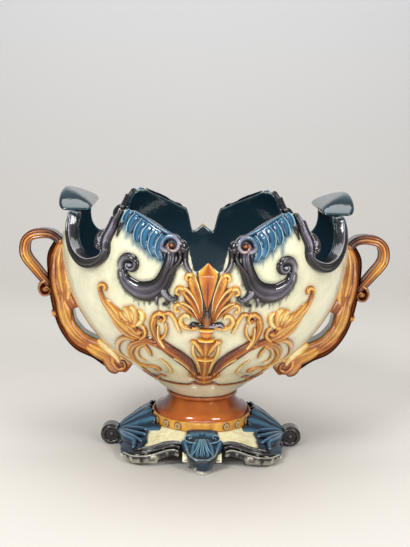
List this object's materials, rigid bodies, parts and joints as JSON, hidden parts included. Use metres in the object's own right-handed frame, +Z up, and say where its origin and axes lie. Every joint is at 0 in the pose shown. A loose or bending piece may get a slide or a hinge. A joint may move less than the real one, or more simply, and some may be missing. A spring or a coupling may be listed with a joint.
{
  "type": "footed jardiniere",
  "caption": "Round two-handled majolica bowl with a pierced, panelled rim and moulded scroll relief, on a low stem and a lobed base.",
  "frame": {"origin": "on the bowl's axis, at the level that the feet stand on", "axes": "+Z up, +X to the right-hand handle, and the front with its palmette faces -Y"},
  "size_m": [0.392, 0.312, 0.2794],
  "materials": {
    "cream_glaze": "clear lead glaze over cream slip",
    "amber_glaze": "translucent amber majolica glaze",
    "honey_glaze": "translucent honey and brown majolica glaze",
    "orange_glaze": "glossy orange-brown majolica glaze",
    "gold_glaze": "glossy yellow ochre glaze",
    "blue_glaze": "glossy cobalt and teal glaze",
    "manganese_glaze": "glossy manganese brown-black glaze"
  },
  "bodies": {
    "root": {"base_arm_back_left": "manganese_glaze", "base_arm_back_right": "manganese_glaze", "base_arm_front_left": "manganese_glaze", "base_arm_front_right": "manganese_glaze", "base_skirt": "cream_glaze", "bay_band_back_left": "manganese_glaze", "bay_band_back_right": "manganese_glaze", "bay_band_front_left": "manganese_glaze", "bay_band_front_right": "manganese_glaze", "bowl": "cream_glaze", "branch_back_left": "amber_glaze", "branch_back_right": "amber_glaze", "branch_front_left": "amber_glaze", "branch_front_right": "amber_glaze", "collar": "gold_glaze", "corner_foot_back_left": "manganese_glaze", "corner_foot_back_right": "manganese_glaze", "corner_foot_front_left": "manganese_glaze", "corner_foot_front_right": "manganese_glaze", "end_crest_left": "blue_glaze", "end_crest_right": "blue_glaze", "foot_ring": "orange_glaze", "handle_curl_left": "honey_glaze", "handle_curl_right": "honey_glaze", "handle_loop_left": "honey_glaze", "handle_loop_right": "honey_glaze", "handle_strap_left": "amber_glaze", "handle_strap_right": "amber_glaze", "leaf_spray_back_left": "amber_glaze", "leaf_spray_back_right": "amber_glaze", "leaf_spray_front_left": "amber_glaze", "leaf_spray_front_right": "amber_glaze", "lower_scroll_back_left": "amber_glaze", "lower_scroll_back_right": "amber_glaze", "lower_scroll_front_left": "amber_glaze", "lower_scroll_front_right": "amber_glaze", "palmette_back": "amber_glaze", "palmette_front": "amber_glaze", "panel_crest_back_left": "blue_glaze", "panel_crest_back_right": "blue_glaze", "panel_crest_front_left": "blue_glaze", "panel_crest_front_right": "blue_glaze", "panel_scroll_back_left": "manganese_glaze", "panel_scroll_back_right": "manganese_glaze", "panel_scroll_front_left": "manganese_glaze", "panel_scroll_front_right": "manganese_glaze", "side_knob_left": "manganese_glaze", "side_knob_right": "manganese_glaze", "side_wing_left": "blue_glaze", "side_wing_right": "blue_glaze", "stalk_back": "amber_glaze", "stalk_front": "amber_glaze", "stem": "orange_glaze", "strap_bead_left": "amber_glaze", "strap_bead_right": "amber_glaze", "toe_shell_back": "blue_glaze", "toe_shell_front": "blue_glaze"}
  },
  "joints": []
}
